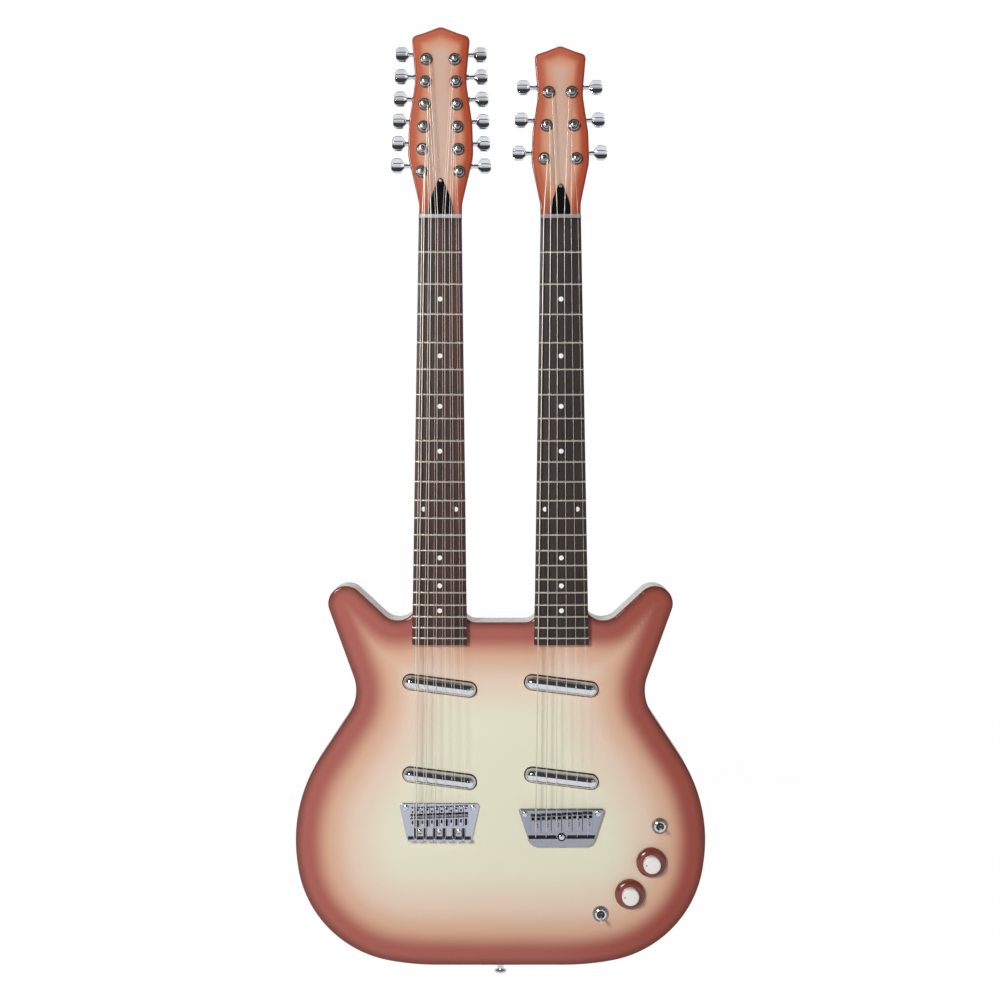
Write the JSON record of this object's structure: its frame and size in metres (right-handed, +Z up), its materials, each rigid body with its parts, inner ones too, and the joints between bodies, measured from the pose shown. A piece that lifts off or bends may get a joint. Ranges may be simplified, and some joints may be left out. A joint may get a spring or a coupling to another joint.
{
  "type": "double-neck electric guitar",
  "caption": "Semi-hollow double-cutaway body in copper sunburst with a twelve-string and a six-string neck, tube pickups, two bridges, stacked knobs and toggles.",
  "frame": {"origin": "centre of the bottom rim at mid-depth, where the end strap button seats", "axes": "+Z up along the necks, -Y is the face with the strings, +X the treble side with the six-string neck"},
  "size_m": [0.4436, 0.0791, 1.022],
  "materials": {
    "sunburst_top": "high gloss lacquer, copper edge to cream centre",
    "copper_back": "high gloss copper-brown lacquer",
    "core_wood": "sanded",
    "side_tape": "embossed grain",
    "neck_lacquer": "gloss lacquer, copper edge to tan middle",
    "fingerboard_wood": "satin, open grain with pale dots",
    "fret_wire": "polished crowns",
    "nut_metal": "fine machined",
    "rod_steel": "plain",
    "black_gloss": "polished",
    "chrome": "polished",
    "string_metal": "plain and wound",
    "dull_nickel": "satin plated",
    "red_brown_gloss": "polished",
    "white_gloss": "polished with a grey dot"
  },
  "bodies": {
    "guitar": {"body_top": "sunburst_top", "body_back": "copper_back", "body_frame": "core_wood", "edge_tape": "side_tape", "neck_12": "neck_lacquer", "neck_6": "neck_lacquer", "fingerboards": "fingerboard_wood", "frets": "fret_wire", "nuts": "nut_metal", "truss_rods": "rod_steel", "truss_rod_covers": "black_gloss", "pickups": "chrome", "bridge_plates": "chrome", "saddles": "chrome", "strings": "string_metal", "tuner_housings": "chrome", "controls": "dull_nickel", "screws_and_strap_buttons": "chrome"},
    "tuner_button_12_left_1": {"tuner_button_12_left_1": "chrome"},
    "string_post_12_left_1": {"string_post_12_left_1": "chrome"},
    "tuner_button_12_left_2": {"tuner_button_12_left_2": "chrome"},
    "string_post_12_left_2": {"string_post_12_left_2": "chrome"},
    "tuner_button_12_left_3": {"tuner_button_12_left_3": "chrome"},
    "string_post_12_left_3": {"string_post_12_left_3": "chrome"},
    "tuner_button_12_left_4": {"tuner_button_12_left_4": "chrome"},
    "string_post_12_left_4": {"string_post_12_left_4": "chrome"},
    "tuner_button_12_left_5": {"tuner_button_12_left_5": "chrome"},
    "string_post_12_left_5": {"string_post_12_left_5": "chrome"},
    "tuner_button_12_left_6": {"tuner_button_12_left_6": "chrome"},
    "string_post_12_left_6": {"string_post_12_left_6": "chrome"},
    "tuner_button_12_right_1": {"tuner_button_12_right_1": "chrome"},
    "string_post_12_right_1": {"string_post_12_right_1": "chrome"},
    "tuner_button_12_right_2": {"tuner_button_12_right_2": "chrome"},
    "string_post_12_right_2": {"string_post_12_right_2": "chrome"},
    "tuner_button_12_right_3": {"tuner_button_12_right_3": "chrome"},
    "string_post_12_right_3": {"string_post_12_right_3": "chrome"},
    "tuner_button_12_right_4": {"tuner_button_12_right_4": "chrome"},
    "string_post_12_right_4": {"string_post_12_right_4": "chrome"},
    "tuner_button_12_right_5": {"tuner_button_12_right_5": "chrome"},
    "string_post_12_right_5": {"string_post_12_right_5": "chrome"},
    "tuner_button_12_right_6": {"tuner_button_12_right_6": "chrome"},
    "string_post_12_right_6": {"string_post_12_right_6": "chrome"},
    "tuner_button_6_left_1": {"tuner_button_6_left_1": "chrome"},
    "string_post_6_left_1": {"string_post_6_left_1": "chrome"},
    "tuner_button_6_left_2": {"tuner_button_6_left_2": "chrome"},
    "string_post_6_left_2": {"string_post_6_left_2": "chrome"},
    "tuner_button_6_left_3": {"tuner_button_6_left_3": "chrome"},
    "string_post_6_left_3": {"string_post_6_left_3": "chrome"},
    "tuner_button_6_right_1": {"tuner_button_6_right_1": "chrome"},
    "string_post_6_right_1": {"string_post_6_right_1": "chrome"},
    "tuner_button_6_right_2": {"tuner_button_6_right_2": "chrome"},
    "string_post_6_right_2": {"string_post_6_right_2": "chrome"},
    "tuner_button_6_right_3": {"tuner_button_6_right_3": "chrome"},
    "string_post_6_right_3": {"string_post_6_right_3": "chrome"},
    "tone_ring_six": {"tone_ring_six": "red_brown_gloss"},
    "volume_knob_six": {"volume_knob_six": "white_gloss"},
    "tone_ring_twelve": {"tone_ring_twelve": "red_brown_gloss"},
    "volume_knob_twelve": {"volume_knob_twelve": "white_gloss"},
    "upper_switch_lever": {"upper_switch_lever": "chrome"},
    "lower_switch_lever": {"lower_switch_lever": "chrome"}
  },
  "joints": [
    {"name": "turn_button_12_left_1", "type": "hinge", "parent": "guitar", "child": "tuner_button_12_left_1", "pos_m": [-0.10343, -0.0045, 0.86303], "axis": [-1, 0, 0.0035], "continuous": true},
    {"name": "turn_post_12_left_1", "type": "hinge", "parent": "guitar", "child": "string_post_12_left_1", "pos_m": [-0.08346, -0.0095, 0.85467], "axis": [0, 1, 0], "continuous": true},
    {"name": "turn_button_12_left_2", "type": "hinge", "parent": "guitar", "child": "tuner_button_12_left_2", "pos_m": [-0.10235, -0.0045, 0.88653], "axis": [-1, 0, 0.0035], "continuous": true},
    {"name": "turn_post_12_left_2", "type": "hinge", "parent": "guitar", "child": "string_post_12_left_2", "pos_m": [-0.08238, -0.0095, 0.87816], "axis": [0, 1, 0], "continuous": true},
    {"name": "turn_button_12_left_3", "type": "hinge", "parent": "guitar", "child": "tuner_button_12_left_3", "pos_m": [-0.10127, -0.0045, 0.91003], "axis": [-1, 0, 0.0035], "continuous": true},
    {"name": "turn_post_12_left_3", "type": "hinge", "parent": "guitar", "child": "string_post_12_left_3", "pos_m": [-0.0813, -0.0095, 0.90166], "axis": [0, 1, 0], "continuous": true},
    {"name": "turn_button_12_left_4", "type": "hinge", "parent": "guitar", "child": "tuner_button_12_left_4", "pos_m": [-0.10018, -0.0045, 0.93352], "axis": [-1, 0, 0.0035], "continuous": true},
    {"name": "turn_post_12_left_4", "type": "hinge", "parent": "guitar", "child": "string_post_12_left_4", "pos_m": [-0.08021, -0.0095, 0.92515], "axis": [0, 1, 0], "continuous": true},
    {"name": "turn_button_12_left_5", "type": "hinge", "parent": "guitar", "child": "tuner_button_12_left_5", "pos_m": [-0.0991, -0.0045, 0.95702], "axis": [-1, 0, 0.0035], "continuous": true},
    {"name": "turn_post_12_left_5", "type": "hinge", "parent": "guitar", "child": "string_post_12_left_5", "pos_m": [-0.07913, -0.0095, 0.94865], "axis": [0, 1, 0], "continuous": true},
    {"name": "turn_button_12_left_6", "type": "hinge", "parent": "guitar", "child": "tuner_button_12_left_6", "pos_m": [-0.09802, -0.0045, 0.98052], "axis": [-1, 0, 0.0035], "continuous": true},
    {"name": "turn_post_12_left_6", "type": "hinge", "parent": "guitar", "child": "string_post_12_left_6", "pos_m": [-0.07805, -0.0095, 0.97215], "axis": [0, 1, 0], "continuous": true},
    {"name": "turn_button_12_right_1", "type": "hinge", "parent": "guitar", "child": "tuner_button_12_right_1", "pos_m": [-0.02353, -0.0045, 0.86276], "axis": [1, 0, -0.0035], "continuous": true},
    {"name": "turn_post_12_right_1", "type": "hinge", "parent": "guitar", "child": "string_post_12_right_1", "pos_m": [-0.04356, -0.0095, 0.85453], "axis": [0, 1, 0], "continuous": true},
    {"name": "turn_button_12_right_2", "type": "hinge", "parent": "guitar", "child": "tuner_button_12_right_2", "pos_m": [-0.02445, -0.0045, 0.88626], "axis": [1, 0, -0.0035], "continuous": true},
    {"name": "turn_post_12_right_2", "type": "hinge", "parent": "guitar", "child": "string_post_12_right_2", "pos_m": [-0.04448, -0.0095, 0.87803], "axis": [0, 1, 0], "continuous": true},
    {"name": "turn_button_12_right_3", "type": "hinge", "parent": "guitar", "child": "tuner_button_12_right_3", "pos_m": [-0.02537, -0.0045, 0.90976], "axis": [1, 0, -0.0035], "continuous": true},
    {"name": "turn_post_12_right_3", "type": "hinge", "parent": "guitar", "child": "string_post_12_right_3", "pos_m": [-0.0454, -0.0095, 0.90153], "axis": [0, 1, 0], "continuous": true},
    {"name": "turn_button_12_right_4", "type": "hinge", "parent": "guitar", "child": "tuner_button_12_right_4", "pos_m": [-0.02628, -0.0045, 0.93327], "axis": [1, 0, -0.0035], "continuous": true},
    {"name": "turn_post_12_right_4", "type": "hinge", "parent": "guitar", "child": "string_post_12_right_4", "pos_m": [-0.04631, -0.0095, 0.92504], "axis": [0, 1, 0], "continuous": true},
    {"name": "turn_button_12_right_5", "type": "hinge", "parent": "guitar", "child": "tuner_button_12_right_5", "pos_m": [-0.0272, -0.0045, 0.95677], "axis": [1, 0, -0.0035], "continuous": true},
    {"name": "turn_post_12_right_5", "type": "hinge", "parent": "guitar", "child": "string_post_12_right_5", "pos_m": [-0.04723, -0.0095, 0.94854], "axis": [0, 1, 0], "continuous": true},
    {"name": "turn_button_12_right_6", "type": "hinge", "parent": "guitar", "child": "tuner_button_12_right_6", "pos_m": [-0.02812, -0.0045, 0.98027], "axis": [1, 0, -0.0035], "continuous": true},
    {"name": "turn_post_12_right_6", "type": "hinge", "parent": "guitar", "child": "string_post_12_right_6", "pos_m": [-0.04815, -0.0095, 0.97204], "axis": [0, 1, 0], "continuous": true},
    {"name": "turn_button_6_left_1", "type": "hinge", "parent": "guitar", "child": "tuner_button_6_left_1", "pos_m": [0.02638, -0.0045, 0.87647], "axis": [-1, 0, -0.0035], "continuous": true},
    {"name": "turn_post_6_left_1", "type": "hinge", "parent": "guitar", "child": "string_post_6_left_1", "pos_m": [0.04641, -0.0095, 0.86824], "axis": [0, 1, 0], "continuous": true},
    {"name": "turn_button_6_left_2", "type": "hinge", "parent": "guitar", "child": "tuner_button_6_left_2", "pos_m": [0.02876, -0.0045, 0.91117], "axis": [-1, 0, -0.0035], "continuous": true},
    {"name": "turn_post_6_left_2", "type": "hinge", "parent": "guitar", "child": "string_post_6_left_2", "pos_m": [0.04879, -0.0095, 0.90294], "axis": [0, 1, 0], "continuous": true},
    {"name": "turn_button_6_left_3", "type": "hinge", "parent": "guitar", "child": "tuner_button_6_left_3", "pos_m": [0.03114, -0.0045, 0.94588], "axis": [-1, 0, -0.0035], "continuous": true},
    {"name": "turn_post_6_left_3", "type": "hinge", "parent": "guitar", "child": "string_post_6_left_3", "pos_m": [0.05117, -0.0095, 0.93765], "axis": [0, 1, 0], "continuous": true},
    {"name": "turn_button_6_right_1", "type": "hinge", "parent": "guitar", "child": "tuner_button_6_right_1", "pos_m": [0.10048, -0.0045, 0.87672], "axis": [1, 0, 0.0035], "continuous": true},
    {"name": "turn_post_6_right_1", "type": "hinge", "parent": "guitar", "child": "string_post_6_right_1", "pos_m": [0.08051, -0.0095, 0.86835], "axis": [0, 1, 0], "continuous": true},
    {"name": "turn_button_6_right_2", "type": "hinge", "parent": "guitar", "child": "tuner_button_6_right_2", "pos_m": [0.09786, -0.0045, 0.91142], "axis": [1, 0, 0.0035], "continuous": true},
    {"name": "turn_post_6_right_2", "type": "hinge", "parent": "guitar", "child": "string_post_6_right_2", "pos_m": [0.07789, -0.0095, 0.90305], "axis": [0, 1, 0], "continuous": true},
    {"name": "turn_button_6_right_3", "type": "hinge", "parent": "guitar", "child": "tuner_button_6_right_3", "pos_m": [0.09524, -0.0045, 0.94611], "axis": [1, 0, 0.0035], "continuous": true},
    {"name": "turn_post_6_right_3", "type": "hinge", "parent": "guitar", "child": "string_post_6_right_3", "pos_m": [0.07527, -0.0095, 0.93774], "axis": [0, 1, 0], "continuous": true},
    {"name": "turn_tone_six", "type": "hinge", "parent": "guitar", "child": "tone_ring_six", "pos_m": [0.16299, -0.022, 0.11402], "axis": [0, 1, 0], "range_deg": [-150, 150]},
    {"name": "turn_volume_six", "type": "hinge", "parent": "guitar", "child": "volume_knob_six", "pos_m": [0.16299, -0.022, 0.11402], "axis": [0, 1, 0], "range_deg": [-60, 240]},
    {"name": "turn_tone_twelve", "type": "hinge", "parent": "guitar", "child": "tone_ring_twelve", "pos_m": [0.13999, -0.022, 0.07931], "axis": [0, 1, 0], "range_deg": [-150, 150]},
    {"name": "turn_volume_twelve", "type": "hinge", "parent": "guitar", "child": "volume_knob_twelve", "pos_m": [0.13999, -0.022, 0.07931], "axis": [0, 1, 0], "range_deg": [-60, 240]},
    {"name": "flip_upper_switch", "type": "hinge", "parent": "guitar", "child": "upper_switch_lever", "pos_m": [0.17229, -0.0236, 0.15311], "axis": [1, 0, 0], "range_deg": [-12, 12]},
    {"name": "flip_lower_switch", "type": "hinge", "parent": "guitar", "child": "lower_switch_lever", "pos_m": [0.1086, -0.0236, 0.0568], "axis": [-1, 0, 0], "range_deg": [0, 24]}
  ],
  "couplings": [
    {"joint": "turn_post_12_left_1", "follows": "turn_button_12_left_1", "ratio": -0.071429},
    {"joint": "turn_post_12_left_2", "follows": "turn_button_12_left_2", "ratio": -0.071429},
    {"joint": "turn_post_12_left_3", "follows": "turn_button_12_left_3", "ratio": -0.071429},
    {"joint": "turn_post_12_left_4", "follows": "turn_button_12_left_4", "ratio": -0.071429},
    {"joint": "turn_post_12_left_5", "follows": "turn_button_12_left_5", "ratio": -0.071429},
    {"joint": "turn_post_12_left_6", "follows": "turn_button_12_left_6", "ratio": -0.071429},
    {"joint": "turn_post_12_right_1", "follows": "turn_button_12_right_1", "ratio": -0.071429},
    {"joint": "turn_post_12_right_2", "follows": "turn_button_12_right_2", "ratio": -0.071429},
    {"joint": "turn_post_12_right_3", "follows": "turn_button_12_right_3", "ratio": -0.071429},
    {"joint": "turn_post_12_right_4", "follows": "turn_button_12_right_4", "ratio": -0.071429},
    {"joint": "turn_post_12_right_5", "follows": "turn_button_12_right_5", "ratio": -0.071429},
    {"joint": "turn_post_12_right_6", "follows": "turn_button_12_right_6", "ratio": -0.071429},
    {"joint": "turn_post_6_left_1", "follows": "turn_button_6_left_1", "ratio": -0.071429},
    {"joint": "turn_post_6_left_2", "follows": "turn_button_6_left_2", "ratio": -0.071429},
    {"joint": "turn_post_6_left_3", "follows": "turn_button_6_left_3", "ratio": -0.071429},
    {"joint": "turn_post_6_right_1", "follows": "turn_button_6_right_1", "ratio": -0.071429},
    {"joint": "turn_post_6_right_2", "follows": "turn_button_6_right_2", "ratio": -0.071429},
    {"joint": "turn_post_6_right_3", "follows": "turn_button_6_right_3", "ratio": -0.071429}
  ]
}
